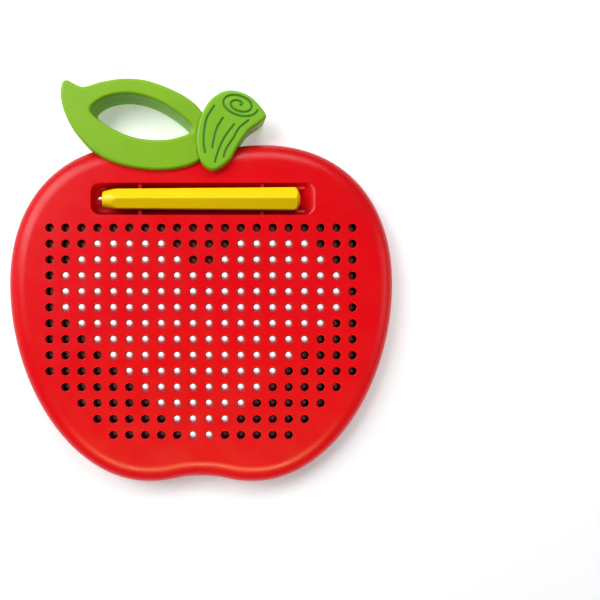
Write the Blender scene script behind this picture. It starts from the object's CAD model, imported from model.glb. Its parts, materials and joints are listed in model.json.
import json
import math

import bmesh
import bpy
import numpy as np
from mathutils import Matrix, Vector
from mathutils.geometry import delaunay_2d_cdt

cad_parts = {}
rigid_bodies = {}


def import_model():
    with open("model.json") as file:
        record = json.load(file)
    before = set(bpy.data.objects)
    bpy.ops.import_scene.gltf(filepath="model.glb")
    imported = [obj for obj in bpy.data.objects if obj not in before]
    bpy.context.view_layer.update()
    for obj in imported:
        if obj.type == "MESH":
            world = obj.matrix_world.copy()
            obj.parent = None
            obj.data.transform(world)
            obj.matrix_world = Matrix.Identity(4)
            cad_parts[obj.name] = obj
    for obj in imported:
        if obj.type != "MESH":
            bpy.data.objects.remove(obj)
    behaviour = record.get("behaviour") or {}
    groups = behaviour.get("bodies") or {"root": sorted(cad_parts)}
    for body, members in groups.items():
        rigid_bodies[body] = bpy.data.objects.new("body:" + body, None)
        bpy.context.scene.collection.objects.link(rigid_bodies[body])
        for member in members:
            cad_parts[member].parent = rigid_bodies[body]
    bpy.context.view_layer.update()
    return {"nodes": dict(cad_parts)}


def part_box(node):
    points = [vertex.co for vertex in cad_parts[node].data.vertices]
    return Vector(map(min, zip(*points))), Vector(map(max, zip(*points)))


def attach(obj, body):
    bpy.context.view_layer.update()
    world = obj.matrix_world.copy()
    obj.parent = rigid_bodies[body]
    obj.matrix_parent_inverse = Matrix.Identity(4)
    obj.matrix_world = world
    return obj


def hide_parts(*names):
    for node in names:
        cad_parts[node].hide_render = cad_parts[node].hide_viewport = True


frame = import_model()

# ---------- sizes, in millimetres ----------

MM = 0.001


def box_mm(node):
    """Lowest and highest corner of a CAD node, in millimetres."""
    low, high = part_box(node)
    return np.array(low) / MM, np.array(high) / MM


SHELL_LOW, SHELL_HIGH = box_mm("front_shell")
BODY_W = SHELL_HIGH[0] - SHELL_LOW[0]
Y_LOW, Y_HIGH = SHELL_LOW[1], SHELL_HIGH[1]
Z_FACE = SHELL_HIGH[2]
BACK_COVER_H = 6
Z_PART = box_mm("back_cover")[0][2] + BACK_COVER_H
CROWN = np.array([0, Y_HIGH])

# The apple's outline
SHOULDER_H = 75
TOP_LOBE_X, BOTTOM_LOBE_X = 34, 28
TOP_DIP, BOTTOM_DIP = 3, 3
SHOULDER_FULL, HIP_FULL, FLANK_FULL = 0.61, 0.56, 0.51

# The mouldings
FRONT_ROUND, FRONT_DROP, BACK_ROUND = 10, 7, 5
WALL, FILLET = 2, 3
SEAM = 0.25
# Keeps two faces that meet from lying in one place
FACE_GAP = 0.02
Z_PANEL = box_mm("retainer_sheet")[1][2]

# The beads and their holes
ROWS, HALF_COLS, FULL_ROWS = 14, 10, 10
ROW1_LOW, ROW1_HIGH = box_mm("beads_down_row01")
BEAD_R = (ROW1_HIGH[2] - ROW1_LOW[2]) / 2
PITCH = (ROW1_HIGH[0] - ROW1_LOW[0] - 2 * BEAD_R) / (2 * HALF_COLS - 1)
Y_ROW1 = (ROW1_LOW[1] + ROW1_HIGH[1]) / 2
HOLE_R, WELL_R = 2.2, 2.65
HOLE_LIP = 0.3
LIP_T = 1

# The tray
TRAY_X, TRAY_LEN, TRAY_W = 1, 119, 16.4
TRAY_DOWN = 29.8
Y_TRAY = Y_HIGH - TRAY_DOWN
TRAY_DEEP, TRAY_LIP, TRAY_WALL = 9, 1.4, 1.5
TRAY_CORNER, LEAST_CORNER = 4.5, 0.6
TRAY_SLOPE, TRAY_FILLET = 0.4, 2.6
TUB_CHAMFER = 1
RAMP_LEN, RAMP_STEP = 9.5, 0.15
CLIP_X, CLIP_T, CLIP_SINK = 32.7, 1.9, 1
CLIP_BURIED, CLIP_CHAMFER, CLIP_MIDDLE, CLIP_FOOT_H = 0.3, 0.5, 0.3, 0.6

# The stylus
BARREL_LEN = 102.5
X_NOSE = box_mm("stylus_barrel")[0][0]
STYLUS_SINK = 1.6
Z_STYLUS = Z_FACE - STYLUS_SINK
FLATS_NOSE, FLATS_TAIL = 10.4, 12
CORNER_CUT, END_CHAMFER = 0.12, 0.2
BARREL_POINTS, PIN_POINTS = 144, 48
NOSE_LEN, NOSE_R = 8.4, 4
NOSE_ROUND, NOSE_ROUND_LEN = 0.6, 0.5
HOLLOW_R, HOLLOW_START = 3.4, 6
PLUG_R, PLUG_LEN = 3.35, 8
DOME_H = 3.1
TIP_R, TIP_OUT = 1.4, 2.7
TIP_BORE_R = TIP_R + 0.05
TIP_HEAD_R, TIP_HEAD_START, TIP_HEAD_END = 2.4, 4, 5.3

# The leaf and the stem, around the middle of the apple's crown
Z_MID = 9.5
Z_LEAF = box_mm("leaf_front")[1][2]
Z_STEM = box_mm("stem_front")[1][2]
EDGE_ROUND = 1.6
HOLE_DRAFT = 1.4
FIT_GAP = 0.2
LEAF = [(-71.5, 33), (-63, 29.5), (-52.5, 32.2), (-40, 33.8), (-26, 32), (-8, 24), (1.5, 14), (5, -2),
        (-4, -11.5), (-22, -14.8), (-42, -12.2), (-56, -5.8), (-67, 5.4), (-73.5, 19), (-74.3, 29)]
FINGER_HOLE = [(-58.5, 17), (-51, 23.5), (-37.5, 25.5), (-23, 21.6), (-9.5, 12.9), (-4.8, 6.3),
               (-13.5, 2.2), (-25, 1.2), (-38, 3.3), (-51, 9.6)]
STEM = [(14.5, 27), (25.5, 24), (34, 14.6), (32, 10.5), (25, 5.4), (19, -3.2), (14.5, -10.5),
        (6, -15.3), (-0.5, -10), (-2.7, 0), (-1.7, 9), (1, 16), (6, 23)]
BARK = [[(7, 18.3), (3.2, 12), (1.8, 5), (1.5, -1), (2.3, -6)],
        [(11.5, 12), (8.6, 7), (7, 1.5), (6.1, -3.5)],
        [(17.5, 8.6), (13.5, 3.5), (10.5, -2), (8.6, -7), (7.5, -11)],
        [(25, 10.8), (20, 6.5), (16.8, 1), (13.5, -4), (12, -8.3)]]
SPIRAL_MIDDLE, SPIRAL_REACH, SPIRAL_FLAT, SPIRAL_TILT = (20.2, 19), 10, 0.6, -18
SPIRAL_TURNS = 2
GROOVE_W, GROOVE_DEEP = 0.7, 0.6


# ---------- curves ----------

# Points on a bead or round a hole
ROUND_POINTS = 32


def bezier(a, b, c, d, n):
    """n points of a cubic curve from a to d, without its last point."""
    t = np.arange(n)[:, None] / n
    s = 1 - t
    a, b, c, d = (np.array(p, float) for p in (a, b, c, d))
    return a * s**3 + 3 * b * s**2 * t + 3 * c * s * t**2 + d * t**3


def smooth_loop(points, n):
    """A closed smooth curve through the points, counterclockwise, with n points on each span."""
    p = np.array(points, float)
    m = len(p)
    spans = []
    for i in range(m):
        a, b = p[i], p[(i + 1) % m]
        lead, trail = (b - p[i - 1]) / 6, (p[(i + 2) % m] - a) / 6
        spans.append(bezier(a, a + lead, b - trail, b, n))
    return ccw(np.vstack(spans))


def smooth_line(points, n):
    """An open smooth curve through the points."""
    p = np.array(points, float)
    ends = np.vstack([2 * p[0] - p[1], p, 2 * p[-1] - p[-2]])
    spans = [bezier(ends[i], ends[i] + (ends[i + 1] - ends[i - 1]) / 6,
                    ends[i + 1] - (ends[i + 2] - ends[i]) / 6, ends[i + 1], n)
             for i in range(1, len(p))]
    return np.vstack(spans + [p[-1:]])


def ccw(loop):
    """The loop, turned round where it runs clockwise."""
    x, y = loop[:, 0], loop[:, 1]
    turn = np.sum(x * np.roll(y, -1) - np.roll(x, -1) * y)
    return loop if turn > 0 else loop[::-1]


def inset(loop, d):
    """A counterclockwise loop moved inward by d, less at corners too tight for it."""
    step = np.roll(loop, -1, 0) - np.roll(loop, 1, 0)
    normal = np.stack([-step[:, 1], step[:, 0]], 1) / np.linalg.norm(step, axis=1)[:, None]
    reach = np.full(len(loop), float(d))
    if d > 0:
        bend = bend_radius(loop)
        for j in range(-5, 6):
            reach = np.minimum(reach, 0.6 * (np.roll(bend, j) + abs(j) * d / 4))
    return loop + reach[:, None] * normal


def bend_radius(loop):
    """Radius of curvature at each point where the loop turns left, else a large number."""
    before, after = np.roll(loop, 1, 0), np.roll(loop, -1, 0)
    u, v = loop - before, after - before
    area = u[:, 0] * v[:, 1] - u[:, 1] * v[:, 0]
    sides = (np.linalg.norm(u, axis=1) * np.linalg.norm(v, axis=1)
             * np.linalg.norm(after - loop, axis=1))
    return np.where(area > 1e-9, sides / np.maximum(2 * area, 1e-9), 1e4)


def apple_outline():
    """The apple, from four curves on each side: dimple, hip and flank, shoulder, and the dip at the top."""
    low, high = np.array([BOTTOM_LOBE_X, Y_LOW]), np.array([TOP_LOBE_X, Y_HIGH])
    wide = np.array([BODY_W / 2, Y_HIGH - SHOULDER_H])
    notch, dip = np.array([0, Y_LOW + BOTTOM_DIP]), np.array([0, Y_HIGH - TOP_DIP])
    right, up = np.array([1, 0]), np.array([0, 1])
    hip, flank = (wide - low) * [HIP_FULL, FLANK_FULL]
    over, rise = (wide - high)[0] * SHOULDER_FULL, SHOULDER_H * SHOULDER_FULL
    half = np.vstack([
        bezier(notch, notch + right * low[0] / 2, low - right * low[0] / 2, low, 12),
        bezier(low, low + right * hip, wide - up * flank, wide, 40),
        bezier(wide, wide + up * rise, high + right * over, high, 40),
        bezier(high, high - right * high[0] / 2, dip + right * high[0] / 2, dip, 14),
        dip[None]])
    return np.vstack([half, half[-2:0:-1] * [-1, 1]])


def circle(x, y, r):
    a = np.arange(ROUND_POINTS) * 2 * np.pi / ROUND_POINTS
    return np.stack([x + r * np.cos(a), y + r * np.sin(a)], 1)


def rounded_box(x, y, w, h, r, n=10):
    """A rectangle with round corners, counterclockwise, with the same number of points at any size."""
    a = np.linspace(0, np.pi / 2, n)
    corner = np.stack([np.cos(a), np.sin(a)], 1) * r
    turns = [((1, 1), corner), ((-1, 1), corner[::-1] * [-1, 1]),
             ((-1, -1), -corner), ((1, -1), corner[::-1] * [1, -1])]
    return np.vstack([np.array([x, y]) + np.array(s) * [w / 2 - r, h / 2 - r] + c for s, c in turns])


def round_edge(reach, drop, n):
    """(inset, depth) pairs round an edge, from the flat to the side."""
    a = np.linspace(90, 0, n + 1)
    return [(reach * (1 - math.cos(math.radians(t))), drop * (1 - math.sin(math.radians(t)))) for t in a]


def inside(points, loop):
    """Which of the points lie inside the loop."""
    x, y = points[:, 0][:, None], points[:, 1][:, None]
    x0, y0 = loop[:, 0], loop[:, 1]
    x1, y1 = np.roll(x0, -1), np.roll(y0, -1)
    crosses = ((y0 > y) != (y1 > y)) & (x < (x1 - x0) * (y - y0) / np.where(y1 == y0, 1e-9, y1 - y0) + x0)
    return crosses.sum(1) % 2 == 1


# ---------- meshes ----------

class Mesh:
    """Gathers vertices in millimetres and faces, and makes one object of them."""

    def __init__(self):
        self.points = []
        self.faces = []

    def ring(self, loop, z):
        """Adds a loop at height z (one number or one for each point) and returns its indices."""
        start = len(self.points)
        heights = np.broadcast_to(z, (len(loop),))
        self.points.extend((p[0], p[1], h) for p, h in zip(loop, heights))
        return list(range(start, len(self.points)))

    def ring3(self, points):
        """Adds a ring of points in space and returns its indices."""
        start = len(self.points)
        self.points.extend(tuple(p) for p in points)
        return list(range(start, len(self.points)))

    def bridge(self, a, b):
        """Faces between two rings with the same number of points."""
        n = len(a)
        self.faces.extend((a[i], a[(i + 1) % n], b[(i + 1) % n], b[i]) for i in range(n))

    def bridges(self, rings):
        for a, b in zip(rings, rings[1:]):
            self.bridge(a, b)

    def close(self, ring, tip):
        """A fan of faces from a ring to one point."""
        index = len(self.points)
        self.points.append(tuple(tip))
        n = len(ring)
        self.faces.extend((ring[i], ring[(i + 1) % n], index) for i in range(n))

    def sheet(self, outer, holes=(), fill=(), height=None):
        """Fills between an outer ring and the hole rings. fill are more points inside, at height."""
        loops = [outer, *holes]
        own = [i for loop in loops for i in loop]
        plan = [Vector(self.points[i][:2]) for i in own]
        label, edges = [], []
        for number, loop in enumerate(loops):
            start = len(label)
            n = len(loop)
            edges += [(start + i, start + (i + 1) % n) for i in range(n)]
            label += [number] * n
        plan += [Vector(p) for p in fill]
        label += [-1] * len(fill)
        _, _, faces, origin, _, _ = delaunay_2d_cdt(plan, edges, [], 0, 1e-5)
        if len(fill) > 0:
            own += self.ring(fill, height)
        outline = np.array([self.points[i][:2] for i in outer])
        keep, middles = [], []
        for face in faces:
            corners = [origin[v][0] for v in face]
            labels = {label[c] for c in corners}
            if len(labels) == 1 and labels.pop() > 0:
                continue
            keep.append(tuple(own[c] for c in corners))
            middles.append(np.mean([plan[c] for c in corners], axis=0))
        good = inside(np.array(middles), outline)
        self.faces.extend(face for face, ok in zip(keep, good) if ok)

    def make(self, name, material, sharp=35):
        data = bpy.data.meshes.new(name)
        data.from_pydata([(x * MM, y * MM, z * MM) for x, y, z in self.points], [], self.faces)
        piece = bpy.data.objects.new(name, data)
        bpy.context.scene.collection.objects.link(piece)
        tidy(piece, sharp)
        data.materials.append(material)
        return piece


def tidy(piece, sharp=35):
    """Joins doubled points, turns all faces outward and shades all but the sharp edges smooth."""
    work = bmesh.new()
    work.from_mesh(piece.data)
    bmesh.ops.remove_doubles(work, verts=work.verts, dist=1e-6)
    bmesh.ops.recalc_face_normals(work, faces=work.faces)
    work.to_mesh(piece.data)
    work.free()
    piece.data.shade_smooth()
    piece.data.set_sharp_from_angle(angle=math.radians(sharp))


def apply_modifiers(piece):
    """Gives the piece the mesh that its modifiers make."""
    graph = bpy.context.evaluated_depsgraph_get()
    graph.update()
    data = bpy.data.meshes.new_from_object(piece.evaluated_get(graph))
    piece.modifiers.clear()
    old = piece.data
    piece.data = data
    bpy.data.meshes.remove(old)


def weigh_normals(piece):
    """Flat faces keep a flat shade next to their rounded edges."""
    change = piece.modifiers.new("flat faces", "WEIGHTED_NORMAL")
    change.keep_sharp = True
    change.weight = 100


def cut(piece, tools):
    """Takes the tools' space out of the piece."""
    for tool in tools:
        change = piece.modifiers.new("cut", "BOOLEAN")
        change.operation = "DIFFERENCE"
        change.solver = "EXACT"
        change.object = tool
        apply_modifiers(piece)
    tidy(piece)


def place(piece, body, slot, *nodes):
    """Ties a piece to its body and slot, and to the CAD nodes whose place it takes."""
    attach(piece, body)
    if nodes:
        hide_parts(*nodes)


# ---------- materials ----------

class Finish:
    """A node material: constant values go on the shader's own sockets."""

    def __init__(self, name, color, roughness, **values):
        self.material = bpy.data.materials.new(name)
        self.material.use_nodes = True
        self.tree = self.material.node_tree
        self.shader = self.tree.nodes["Principled BSDF"]
        self.shader.inputs["Base Color"].default_value = (*color, 1)
        self.shader.inputs["Roughness"].default_value = roughness
        for socket, value in values.items():
            self.shader.inputs[socket.replace("_", " ")].default_value = value
        self.place = self.tree.nodes.new("ShaderNodeTexCoord").outputs["Object"]

    def noise(self, scale, detail=3):
        node = self.tree.nodes.new("ShaderNodeTexNoise")
        node.inputs["Scale"].default_value = scale
        node.inputs["Detail"].default_value = detail
        self.tree.links.new(self.place, node.inputs["Vector"])
        return node.outputs["Fac"]

    def ramp(self, value, stops):
        node = self.tree.nodes.new("ShaderNodeValToRGB")
        while len(node.color_ramp.elements) < len(stops):
            node.color_ramp.elements.new(0.5)
        for element, (at, color) in zip(node.color_ramp.elements, stops):
            element.position = at
            element.color = (*color, 1)
        self.tree.links.new(value, node.inputs["Fac"])
        return node.outputs["Color"]

    def spread(self, value, low, high):
        """Turns the middle of a noise's range into a range of its own."""
        node = self.tree.nodes.new("ShaderNodeMapRange")
        node.inputs["From Min"].default_value = 0.3
        node.inputs["From Max"].default_value = 0.7
        node.inputs["To Min"].default_value = low
        node.inputs["To Max"].default_value = high
        self.tree.links.new(value, node.inputs["Value"])
        return node.outputs["Result"]

    def color(self, stops, scale):
        self.tree.links.new(self.ramp(self.noise(scale), stops), self.shader.inputs["Base Color"])
        return self

    def roughness(self, low, high, scale):
        value = self.spread(self.noise(scale, 4), low, high)
        self.tree.links.new(value, self.shader.inputs["Roughness"])
        return self

    def darken(self, attribute, color):
        """Goes over to a darker colour where the mesh's attribute is 1."""
        source = self.tree.nodes.new("ShaderNodeAttribute")
        source.attribute_name = attribute
        mix = self.tree.nodes.new("ShaderNodeMixRGB")
        mix.inputs["Color2"].default_value = (*color, 1)
        target = self.shader.inputs["Base Color"]
        self.tree.links.new(target.links[0].from_socket, mix.inputs["Color1"])
        self.tree.links.new(source.outputs["Fac"], mix.inputs["Fac"])
        self.tree.links.new(mix.outputs["Color"], target)
        return self

    def bump(self, height, scale):
        """Fine relief, height in millimetres."""
        node = self.tree.nodes.new("ShaderNodeBump")
        node.inputs["Strength"].default_value = 1
        node.inputs["Distance"].default_value = height * MM
        self.tree.links.new(self.noise(scale), node.inputs["Height"])
        self.tree.links.new(node.outputs["Normal"], self.shader.inputs["Normal"])
        return self


def around(color, spread):
    """Color stops a little darker and lighter than a colour."""
    return [(0.3, tuple(c * (1 - spread) for c in color)), (0.5, color),
            (0.7, tuple(min(1, c * (1 + spread)) for c in color))]


RED = (0.52, 0.001, 0.005)
LEAF_GREEN = (0.22, 0.47, 0.005)
STEM_GREEN = (0.21, 0.5, 0.01)
GROOVE_GREEN = (0.045, 0.2, 0.02)
YELLOW = (1.0, 0.68, 0.0)
BLACK = (0.012, 0.008, 0.009)
DARK_FILM = (0.02, 0.004, 0.005)
STEEL = (0.9, 0.91, 0.92)
BRIGHT_METAL = (0.9, 0.9, 0.92)
MAGNET_GREY = (0.16, 0.16, 0.17)
PAPER_WHITE = (0.95, 0.95, 0.95)

red_plastic = Finish("red plastic", RED, 0.3, Specular_IOR_Level=0.27)
red_plastic.color(around(RED, 0.03), 18).roughness(0.26, 0.34, 90).bump(0.005, 700)
leaf_plastic = Finish("leaf plastic", LEAF_GREEN, 0.42, Specular_IOR_Level=0.3)
leaf_plastic.color(around(LEAF_GREEN, 0.05), 30).roughness(0.38, 0.48, 120).bump(0.01, 900)
stem_plastic = Finish("stem plastic", STEM_GREEN, 0.42, Specular_IOR_Level=0.3)
stem_plastic.color(around(STEM_GREEN, 0.05), 30).roughness(0.38, 0.48, 120).bump(0.01, 900)
stem_plastic.darken("groove", GROOVE_GREEN)
yellow_plastic = Finish("yellow plastic", YELLOW, 0.28, Specular_IOR_Level=0.25)
yellow_plastic.color(around(YELLOW, 0.03), 40).roughness(0.25, 0.33, 150).bump(0.005, 900)
black_plastic = Finish("black plastic", BLACK, 0.6)
black_plastic.color(around(BLACK, 0.2), 200).roughness(0.55, 0.7, 400).bump(0.03, 1500)
retainer_film = Finish("retainer film", DARK_FILM, 0.55)
retainer_film.color(around(DARK_FILM, 0.2), 150).roughness(0.5, 0.65, 300).bump(0.02, 900)
bead_steel = Finish("bead steel", STEEL, 0.55, Metallic=1.0)
bead_steel.color(around(STEEL, 0.03), 500).roughness(0.5, 0.6, 900).bump(0.002, 3000)
tip_metal = Finish("tip metal", BRIGHT_METAL, 0.3, Metallic=1.0)
tip_metal.color(around(BRIGHT_METAL, 0.03), 600).roughness(0.28, 0.36, 1200).bump(0.003, 4000)
magnet_metal = Finish("magnet", MAGNET_GREY, 0.5, Metallic=0.8)
magnet_metal.color(around(MAGNET_GREY, 0.15), 500).roughness(0.4, 0.6, 900).bump(0.01, 2500)


# ---------- beads ----------

def row_count(row):
    """Beads on each side of the middle: the lower corners of the field are cut off."""
    return HALF_COLS if row <= FULL_ROWS else HALF_COLS + FULL_ROWS - row


def raised(row, k):
    """The heart drawn on the board, row by row from the middle outward."""
    last = -1 if row < 2 else row + 4 if row < 4 else 8 if row < 7 else ROWS - row
    return max(0, 4 - row) <= k <= last


def row_y(row):
    return Y_ROW1 - (row - 1) * PITCH


def bead_row(name, row, up):
    """The raised or the lowered beads of one row, as high as the CAD has them."""
    low, high = box_mm(name)
    height = (low[2] + high[2]) / 2
    bead = Mesh()
    for k in range(row_count(row)):
        if raised(row, k) != up:
            continue
        for side in (-1, 1):
            add_ball(bead, side * (k + 0.5) * PITCH, row_y(row), height, BEAD_R)
    piece = bead.make(name + "_balls", bead_steel.material, 80)
    place(piece, name, "bead_steel", name)


def add_ball(mesh, x, y, z, r, steps=16):
    rings = []
    for i in range(1, steps):
        a = math.pi * i / steps
        rings.append(mesh.ring(circle(x, y, r * math.sin(a)), z + r * math.cos(a)))
    mesh.bridges(rings)
    mesh.close(rings[0], (x, y, z + r))
    mesh.close(rings[-1], (x, y, z - r))


def make_beads():
    """Each row's two groups, where the CAD has them: row 1 has no raised beads."""
    for row in range(1, ROWS + 1):
        for up, word in ((True, "up"), (False, "down")):
            name = f"beads_{word}_row{row:02d}"
            if name in frame["nodes"]:
                bead_row(name, row, up)


# ---------- casing ----------

APPLE = apple_outline()


def tray_loop(grow):
    """The tray's outline, larger all round by grow."""
    corner = max(TRAY_CORNER + grow, LEAST_CORNER)
    return rounded_box(TRAY_X, Y_TRAY, TRAY_LEN + 2 * grow, TRAY_W + 2 * grow, corner)


def smoothstep(x):
    x = np.clip(x, 0, 1)
    return x * x * (3 - 2 * x)


def tray_depth(loop):
    """How deep the tray is at each point: the right end is a ramp that runs out at the face."""
    start = TRAY_X + TRAY_LEN / 2 - RAMP_LEN
    rise = smoothstep((loop[:, 0] - start) / (RAMP_LEN + TRAY_LIP))
    return np.minimum(TRAY_DEEP, TRAY_DEEP * (1 - rise) + RAMP_STEP)


def tray_wall(shell, grow, drop):
    """One ring of the tray's wall or of the fillet at its foot, which get lower along the ramp."""
    loop = tray_loop(grow)
    depth = tray_depth(loop)
    low = np.maximum(depth * drop / TRAY_DEEP, np.minimum(depth, TRAY_LIP))
    return shell.ring(loop, Z_FACE - low)


def add_tray(shell, opening):
    """The tray's inside, from its opening in the face."""
    rings = [opening]
    for reach, drop in round_edge(TRAY_LIP, TRAY_LIP, 6)[1:]:
        loop = tray_loop(TRAY_LIP - reach)
        rings.append(shell.ring(loop, Z_FACE - np.minimum(tray_depth(loop), drop)))
    for reach, drop in round_edge(TRAY_FILLET, TRAY_FILLET, 8)[::-1]:
        rings.append(tray_wall(shell, -TRAY_SLOPE - reach, TRAY_DEEP - drop))
    shell.bridges(rings)
    margin, step = 0.4, 1
    edge = tray_loop(-TRAY_SLOPE - TRAY_FILLET - margin)
    xs = np.arange(edge[:, 0].min() + step / 2, edge[:, 0].max(), step)
    ys = np.arange(edge[:, 1].min() + step / 2, edge[:, 1].max(), step)
    fill = np.array([(x, y) for x in xs for y in ys])
    fill = fill[inside(fill, edge)]
    shell.sheet(rings[-1], fill=fill, height=Z_FACE - tray_depth(fill))


def hole_rings(shell, x, y):
    """Rings down one hole, from its rounded mouth to the well behind it."""
    rings = [shell.ring(circle(x, y, HOLE_R + reach), Z_FACE - drop)
             for reach, drop in round_edge(HOLE_LIP, HOLE_LIP, 4)]
    rings.append(shell.ring(circle(x, y, HOLE_R), Z_FACE - LIP_T))
    rings.append(shell.ring(circle(x, y, WELL_R), Z_FACE - LIP_T))
    rings.append(shell.ring(circle(x, y, WELL_R), Z_PANEL))
    shell.bridges(rings)
    return rings[0], rings[-1]


def front_shell():
    """The face with its rounded edge, the holes, and the tray's tub under the panel."""
    shell = Mesh()
    top = shell.ring(inset(APPLE, FRONT_ROUND), Z_FACE)
    side = [top]
    for reach, drop in round_edge(FRONT_ROUND, FRONT_DROP, 14)[1:]:
        side.append(shell.ring(inset(APPLE, reach), Z_FACE - drop))
    side.append(shell.ring(APPLE, Z_PART + SEAM))
    side.append(shell.ring(inset(APPLE, SEAM), Z_PART))
    side.append(shell.ring(inset(APPLE, WALL), Z_PART))
    side.append(shell.ring(inset(APPLE, WALL), Z_FACE - FRONT_DROP))
    side.append(shell.ring(inset(APPLE, WALL + FILLET), Z_PANEL))
    shell.bridges(side)
    mouths, ends = [], []
    for row in range(1, ROWS + 1):
        for k in range(row_count(row)):
            for side_of_middle in (-1, 1):
                mouth, end = hole_rings(shell, side_of_middle * (k + 0.5) * PITCH, row_y(row))
                mouths.append(mouth)
                ends.append(end)
    opening = shell.ring(tray_loop(TRAY_LIP), Z_FACE)
    add_tray(shell, opening)
    shell.sheet(top, mouths + [opening])
    under = shell.ring(tray_loop(TRAY_WALL), Z_PANEL)
    foot = Z_FACE - TRAY_DEEP - TRAY_WALL
    tub = [under, shell.ring(tray_loop(TRAY_WALL), foot + TUB_CHAMFER),
           shell.ring(tray_loop(TRAY_WALL - TUB_CHAMFER), foot)]
    shell.bridges(tub)
    shell.sheet(tub[-1])
    shell.sheet(side[-1], ends + [under])
    piece = shell.make("front_shell_moulding", red_plastic.material)
    weigh_normals(piece)
    place(piece, "casing", "red_plastic", "front_shell")


def flats_at(x):
    """The stylus's width across flats, which grows from the nose to the tail."""
    return FLATS_NOSE + (FLATS_TAIL - FLATS_NOSE) * (x - X_NOSE) / BARREL_LEN


def clip_rib(number, x, side):
    """A small rib from the tray's wall that grips one flat of the stylus."""
    flat = flats_at(x) / 2 + FIT_GAP
    wall = TRAY_W / 2 + CLIP_BURIED
    top, foot = Z_FACE - CLIP_SINK, Z_FACE - TRAY_DEEP
    low = Z_STYLUS - flat / math.sqrt(3)
    profile = [(wall, foot), (wall, top), (flat + CLIP_CHAMFER, top), (flat, top - CLIP_CHAMFER),
               (flat, low), (CLIP_MIDDLE, foot + CLIP_FOOT_H), (CLIP_MIDDLE, foot)]
    rib = Mesh()
    rings = []
    for along, sink in [(-1, 0.2), (-0.8, 0), (0.8, 0), (1, 0.2)]:
        rings.append(rib.ring3([(x + along * CLIP_T / 2, Y_TRAY + side * out, z - (sink if z == top else 0))
                                for out, z in profile]))
    rib.bridges(rings)
    rib.faces.append(tuple(rings[0]))
    rib.faces.append(tuple(rings[-1]))
    piece = rib.make(f"clip_rib_{number}", red_plastic.material, 30)
    place(piece, "casing", "red_plastic")


def back_cover():
    """A shallow dish with a rounded back edge."""
    cover = Mesh()
    edge = inset(APPLE, BACK_ROUND)
    rings = [cover.ring(edge, 0)]
    for reach, drop in round_edge(BACK_ROUND, BACK_ROUND, 12)[1:]:
        rings.append(cover.ring(inset(APPLE, reach), drop))
    rings.append(cover.ring(APPLE, Z_PART - SEAM))
    rings.append(cover.ring(inset(APPLE, SEAM), Z_PART - FACE_GAP))
    rings.append(cover.ring(inset(APPLE, WALL), Z_PART - FACE_GAP))
    for reach, drop in round_edge(FILLET, FILLET, 5)[::-1]:
        rings.append(cover.ring(inset(APPLE, WALL + reach), WALL + drop))
    cover.bridges(rings)
    cover.sheet(rings[0])
    cover.sheet(rings[-1])
    piece = cover.make("back_cover_moulding", red_plastic.material)
    weigh_normals(piece)
    place(piece, "casing", "red_plastic", "back_cover")


# ---------- leaf and stem ----------

def puck(name, material, loop, z0, z1, round_low, hole=None, draft=(0, 0)):
    """A flat moulding half between z0 and z1, with one rounded edge and a seam chamfer on the other."""
    part = Mesh()
    flat, seam = (z0, z1) if round_low else (z1, z0)
    sign = 1 if round_low else -1

    def sides(outline, direction, drafts):
        rings = [part.ring(inset(outline, direction * reach + drafts[0]), flat + sign * drop)
                 for reach, drop in round_edge(EDGE_ROUND, EDGE_ROUND, 8)]
        rings.append(part.ring(inset(outline, drafts[1]), seam - sign * SEAM))
        rings.append(part.ring(inset(outline, direction * SEAM + drafts[1]), seam))
        part.bridges(rings)
        return rings[0], rings[-1]

    outer = sides(loop, 1, (0, 0))
    inner = [sides(hole, -1, draft)] if hole is not None else []
    part.sheet(outer[0], [i[0] for i in inner])
    part.sheet(outer[1], [i[1] for i in inner])
    return part.make(name, material)


def prism(name, loop, z0, z1):
    """A plain solid that only cuts others."""
    tool = Mesh()
    rings = [tool.ring(loop, z0), tool.ring(loop, z1)]
    tool.bridges(rings)
    tool.sheet(rings[0])
    tool.sheet(rings[1])
    return tool.make(name, red_plastic.material)


def body_space():
    """The space that the apple takes, with a little room round it."""
    tool = Mesh()
    rings = [tool.ring(inset(APPLE, reach - FIT_GAP), Z_FACE - drop)
             for reach, drop in round_edge(FRONT_ROUND, FRONT_DROP, 10)]
    rings.append(tool.ring(inset(APPLE, -FIT_GAP), -1))
    tool.bridges(rings)
    tool.sheet(rings[0])
    tool.sheet(rings[-1])
    return tool.make("body_space", red_plastic.material)


def leaf_and_stem():
    """Two halves each, cut clear of the apple, and the leaf clear of the stem."""
    leaf = smooth_loop(LEAF, 10) + CROWN
    hole = smooth_loop(FINGER_HOLE, 10) + CROWN
    stem = smooth_loop(STEM, 10) + CROWN
    space = body_space()
    stem_space = prism("stem_space", inset(stem, -FIT_GAP), -1, Z_STEM + 1)
    half = HOLE_DRAFT * (Z_LEAF - Z_MID) / Z_LEAF
    green = leaf_plastic.material
    front = puck("leaf_handle_front", green, leaf, Z_MID, Z_LEAF, False, hole, (0, half))
    back = puck("leaf_handle_back", green, leaf, 0, Z_MID - FACE_GAP, True, hole, (HOLE_DRAFT, half))
    for piece, node in ((front, "leaf_front"), (back, "leaf_back")):
        cut(piece, [stem_space, space])
        weigh_normals(piece)
        place(piece, "casing", "leaf_plastic", node)
    top = carved_stem(stem)
    foot = puck("stem_back_half", stem_plastic.material, stem, 0, Z_MID - FACE_GAP, True)
    for piece, node in ((top, "stem_front"), (foot, "stem_back")):
        cut(piece, [space])
        weigh_normals(piece)
        place(piece, "casing", "stem_plastic", node)
    mark_grooves(top)
    for tool in (space, stem_space):
        bpy.data.objects.remove(tool)


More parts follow.
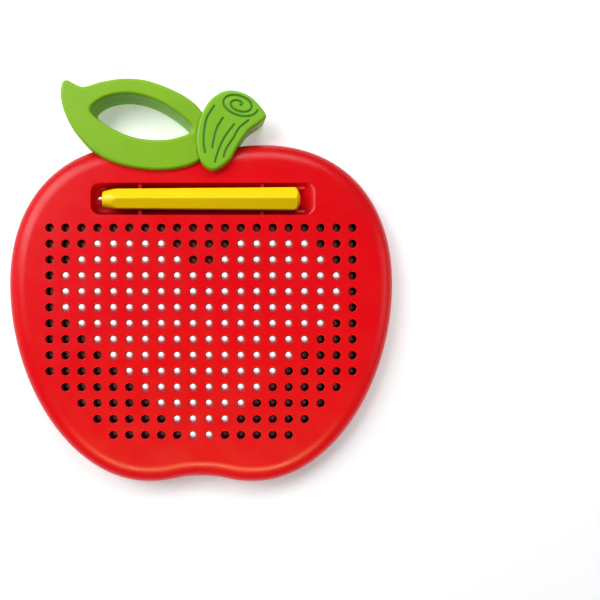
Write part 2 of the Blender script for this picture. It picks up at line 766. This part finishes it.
def grooves():
    """Points along the bark grooves and the spiral, in plan."""
    lines = [smooth_line(points, 12) for points in BARK]
    turn = np.linspace(0.02, SPIRAL_TURNS, 160)
    reach = SPIRAL_REACH * (turn / SPIRAL_TURNS) ** 0.6
    a = turn * 2 * np.pi
    x, y = reach * np.cos(a), reach * np.sin(a) * SPIRAL_FLAT
    tilt = math.radians(SPIRAL_TILT)
    spiral = np.stack([x * math.cos(tilt) - y * math.sin(tilt), x * math.sin(tilt) + y * math.cos(tilt)], 1)
    lines.append(spiral + np.array(SPIRAL_MIDDLE))
    return [line + CROWN for line in lines]


def distance_to(points, line):
    """Distance from each point to a line of short straight pieces."""
    best = np.full(len(points), 1e9)
    for a, b in zip(line, line[1:]):
        along = b - a
        t = np.clip(((points - a) @ along) / (along @ along), 0, 1)
        best = np.minimum(best, np.linalg.norm(points - (a + t[:, None] * along), axis=1))
    return best


def groove_depth(points):
    """How deep the carving is at each point, from 0 on the flat to 1 in the middle of a groove."""
    deep = np.zeros(len(points))
    for line in grooves():
        near = distance_to(points, line) / GROOVE_W
        deep = np.maximum(deep, np.clip(1 - near**2, 0, 1) ** 0.7)
    return deep


def mark_grooves(piece):
    """Stores the carving's depth on the mesh, where the material reads it."""
    points = np.array([v.co for v in piece.data.vertices]) / MM
    deep = groove_depth(points[:, :2]) * (points[:, 2] > Z_STEM - EDGE_ROUND)
    piece.data.attributes.new("groove", "FLOAT", "POINT").data.foreach_set("value", deep)


def carved_stem(loop):
    """The stem's front half with its grooves cut into the flat front."""
    part = Mesh()
    rings = [part.ring(inset(loop, reach), Z_STEM - drop)
             for reach, drop in round_edge(EDGE_ROUND, EDGE_ROUND, 8)]
    rings.append(part.ring(loop, Z_MID + SEAM))
    rings.append(part.ring(inset(loop, SEAM), Z_MID))
    part.bridges(rings)
    part.sheet(rings[-1])
    margin, step = 0.15, 0.28
    edge = inset(loop, EDGE_ROUND + margin)
    xs = np.arange(edge[:, 0].min(), edge[:, 0].max(), step)
    ys = np.arange(edge[:, 1].min(), edge[:, 1].max(), step)
    fill = np.array([(x + step / 2 * (j % 2), y) for j, y in enumerate(ys) for x in xs])
    fill = fill[inside(fill, edge)]
    part.sheet(rings[0], fill=fill, height=Z_STEM - GROOVE_DEEP * groove_depth(fill))
    return part.make("stem_front_carved", stem_plastic.material, 60)


# ---------- stylus ----------

def soft_least(a, b, blend):
    """The smaller of two values, with a soft change between them."""
    h = np.clip(0.5 + 0.5 * (b - a) / blend, 0, 1)
    return b * (1 - h) + a * h - blend * h * (1 - h)


def hexagon(angles, flats, blend=0.25):
    """Radius of a hexagon with softened corners and one corner up."""
    turn = (angles + np.pi / 6) % (np.pi / 3) - np.pi / 6
    return soft_least(flats / 2 / np.cos(turn), np.full_like(turn, flats / math.sqrt(3) - CORNER_CUT), blend)


def on_stylus(mesh, along, radii, angles):
    """A ring round the stylus, with one radius for all its points or one for each."""
    radii = np.broadcast_to(radii, len(angles))
    return mesh.ring3([(X_NOSE + along, Y_TRAY + r * math.cos(a), Z_STYLUS + r * math.sin(a))
                       for r, a in zip(radii, angles)])


def round_angles(n):
    return np.arange(n) * 2 * np.pi / n


# Round the barrel, starting at the middle of a flat
HEX_ANGLES = round_angles(BARREL_POINTS) + np.pi / 6 + np.pi / 2


def hex_radii(along):
    return hexagon(HEX_ANGLES, flats_at(X_NOSE + along))


def stylus_barrel():
    """A hexagonal tube with a conical nose."""
    slope = (flats_at(X_NOSE + NOSE_LEN) / math.sqrt(3) - NOSE_R) / NOSE_LEN
    barrel = Mesh()
    rings = [on_stylus(barrel, 0, TIP_BORE_R, HEX_ANGLES),
             on_stylus(barrel, 0, NOSE_R - NOSE_ROUND, HEX_ANGLES)]
    for a in (30, 60, 90):
        rings.append(on_stylus(barrel, NOSE_ROUND_LEN * (1 - math.cos(math.radians(a))),
                               NOSE_R - NOSE_ROUND + NOSE_ROUND * math.sin(math.radians(a)), HEX_ANGLES))
    for along in np.concatenate([np.linspace(0.8, NOSE_LEN + 2, 30), np.linspace(12, BARREL_LEN - 0.3, 12)]):
        cone = np.full(len(HEX_ANGLES), NOSE_R + slope * along)
        rings.append(on_stylus(barrel, along, soft_least(cone, hex_radii(along), 0.2), HEX_ANGLES))
    end = BARREL_LEN - FACE_GAP
    rings.append(on_stylus(barrel, end, hex_radii(BARREL_LEN) - END_CHAMFER, HEX_ANGLES))
    rings.append(on_stylus(barrel, end, HOLLOW_R, HEX_ANGLES))
    rings.append(on_stylus(barrel, HOLLOW_START, HOLLOW_R, HEX_ANGLES))
    rings.append(on_stylus(barrel, HOLLOW_START, TIP_BORE_R, HEX_ANGLES))
    barrel.bridges(rings + [rings[0]])
    piece = barrel.make("stylus_barrel_moulding", yellow_plastic.material, 40)
    weigh_normals(piece)
    place(piece, "stylus", "yellow_plastic", "stylus_barrel")


def stylus_end_plug():
    """The domed end, with a round spigot in the barrel's hollow."""
    plug = Mesh()
    chord = FLATS_TAIL / math.sqrt(3)
    ball = (chord**2 + DOME_H**2) / (2 * DOME_H)
    start = BARREL_LEN + FACE_GAP
    rings = [on_stylus(plug, BARREL_LEN - PLUG_LEN, PLUG_R, HEX_ANGLES),
             on_stylus(plug, start, PLUG_R, HEX_ANGLES),
             on_stylus(plug, start, hex_radii(BARREL_LEN) - END_CHAMFER, HEX_ANGLES)]
    for t in np.linspace(0.05, 0.995, 20):
        along = DOME_H * t**0.8
        dome = math.sqrt(max(ball**2 - (ball - DOME_H + along) ** 2, 0))
        radii = soft_least(np.full(len(HEX_ANGLES), dome), hex_radii(BARREL_LEN), 0.5)
        rings.append(on_stylus(plug, BARREL_LEN + along, radii, HEX_ANGLES))
    plug.bridges(rings)
    plug.close(rings[0], (X_NOSE + BARREL_LEN - PLUG_LEN, Y_TRAY, Z_STYLUS))
    plug.close(rings[-1], (X_NOSE + BARREL_LEN + DOME_H, Y_TRAY, Z_STYLUS))
    piece = plug.make("stylus_end_plug_moulding", yellow_plastic.material, 40)
    weigh_normals(piece)
    place(piece, "stylus", "yellow_plastic", "stylus_end_plug")


def stylus_tip():
    """A pin with a round point and a wider head inside the nose."""
    tip = Mesh()
    angles = round_angles(PIN_POINTS)
    rings = []
    for a in np.linspace(8, 90, 9):
        along = -TIP_OUT + TIP_R * (1 - math.cos(math.radians(a)))
        rings.append(on_stylus(tip, along, TIP_R * math.sin(math.radians(a)), angles))
    rings.append(on_stylus(tip, TIP_HEAD_START - 0.2, TIP_R, angles))
    rings.append(on_stylus(tip, TIP_HEAD_START, TIP_HEAD_R, angles))
    rings.append(on_stylus(tip, TIP_HEAD_END, TIP_HEAD_R, angles))
    tip.bridges(rings)
    tip.close(rings[0], (X_NOSE - TIP_OUT, Y_TRAY, Z_STYLUS))
    tip.close(rings[-1], (X_NOSE + TIP_HEAD_END, Y_TRAY, Z_STYLUS))
    piece = tip.make("stylus_tip_pin", tip_metal.material, 50)
    place(piece, "stylus", "tip_metal", "stylus_tip")


# ---------- stage ----------

def floor():
    """A pale sheet of paper half a millimetre under the board, which glows a little."""
    bpy.ops.mesh.primitive_plane_add(size=6, location=(0, 0, -0.0005))
    ground = bpy.context.object
    ground.name = "floor"
    paper = Finish("paper", PAPER_WHITE, 0.9, Emission_Color=(1, 1, 1, 1), Emission_Strength=0.3)
    paper.color(around(PAPER_WHITE, 0.01), 3)
    ground.data.materials.append(paper.material)


def area_light(name, at, size, power, color=(1, 1, 1)):
    """A rectangular lamp, turned towards the origin."""
    data = bpy.data.lights.new(name, "AREA")
    data.shape = "RECTANGLE"
    data.size, data.size_y = size
    data.energy = power
    data.color = color
    lamp = bpy.data.objects.new(name, data)
    bpy.context.scene.collection.objects.link(lamp)
    lamp.location = at
    lamp.rotation_mode = "QUATERNION"
    lamp.rotation_quaternion = (-Vector(at)).to_track_quat("-Z", "Y")
    return lamp


def only_on(lamp, wanted):
    """Lets a lamp fall on some of the pieces only."""
    lit = bpy.data.collections.new(lamp.name + " falls on")
    for piece in bpy.data.objects:
        if wanted(piece.name):
            lit.objects.link(piece)
    lamp.light_linking.receiver_collection = lit


def lights():
    """A big soft light from the upper left, and weaker ones from the top, the right and low on the left.

    A warm one from the board's lower side only falls on the two red mouldings, where it draws the band
    along the lower edge. One more, overhead, only falls on the raised beads.
    """
    area_light("key", (-0.68, 0.44, 0.84), (0.72, 0.72), 11.8)
    area_light("top", (0.1, 0.8, 0.84), (0.7, 0.35), 5)
    area_light("fill", (0.95, 0, 0.6), (0.5, 0.5), 1.2)
    area_light("edge", (-1.1, 0.1, 0.36), (0.8, 0.12), 0.6)
    glow = area_light("glow", (0, -0.64, 0.86), (0.9, 0.09), 8.5, (1, 0.82, 0.38))
    only_on(glow, lambda name: name in ("front_shell_moulding", "back_cover_moulding"))
    shine = area_light("shine", (0.1, -0.1, 1), (1, 1), 4.5)
    only_on(shine, lambda name: name.startswith("beads_up") and name.endswith("balls"))


def studio_world():
    """A pale world, brighter at the horizon than overhead."""
    world = bpy.data.worlds.new("studio")
    world.use_nodes = True
    tree = world.node_tree
    back = tree.nodes["Background"]
    back.inputs["Color"].default_value = (0.95, 0.97, 1, 1)
    split = tree.nodes.new("ShaderNodeSeparateXYZ")
    fade = tree.nodes.new("ShaderNodeMapRange")
    fade.inputs["From Min"].default_value = 0.1
    fade.inputs["From Max"].default_value = 0.9
    fade.inputs["To Min"].default_value = 0.2
    fade.inputs["To Max"].default_value = 0.03
    tree.links.new(tree.nodes.new("ShaderNodeTexCoord").outputs["Generated"], split.inputs["Vector"])
    tree.links.new(split.outputs["Z"], fade.inputs["Value"])
    tree.links.new(fade.outputs["Result"], back.inputs["Strength"])
    bpy.context.scene.world = world


def camera():
    """Looks straight down at the face; the lens shift puts the board left of the middle. In metres."""
    data = bpy.data.cameras.new("camera")
    view_w, distance, sensor = 0.3196, 0.376, 36
    data.sensor_width = sensor
    data.lens = sensor * distance / view_w
    data.shift_x, data.shift_y = 0.1648, -0.0333
    eye = bpy.data.objects.new("camera", data)
    bpy.context.scene.collection.objects.link(eye)
    eye.location = (0, MM, Z_FACE * MM + distance)
    bpy.context.scene.camera = eye


front_shell()
for number, (x, side) in enumerate([(-CLIP_X, -1), (-CLIP_X, 1), (CLIP_X, -1), (CLIP_X, 1)], 1):
    clip_rib(number, x, side)
back_cover()
leaf_and_stem()
stylus_barrel()
stylus_end_plug()
stylus_tip()
make_beads()

camera()
floor()
lights()
studio_world()
bpy.context.scene.view_settings.view_transform = "Standard"

# The CAD nodes that are kept get a finish only
INNER_FINISHES = {"cell_plate": black_plastic, "retainer_sheet": retainer_film, "stylus_magnet": magnet_metal}
for node, finish in INNER_FINISHES.items():
    part = frame["nodes"][node]
    part.data.materials.clear()
    part.data.materials.append(finish.material)
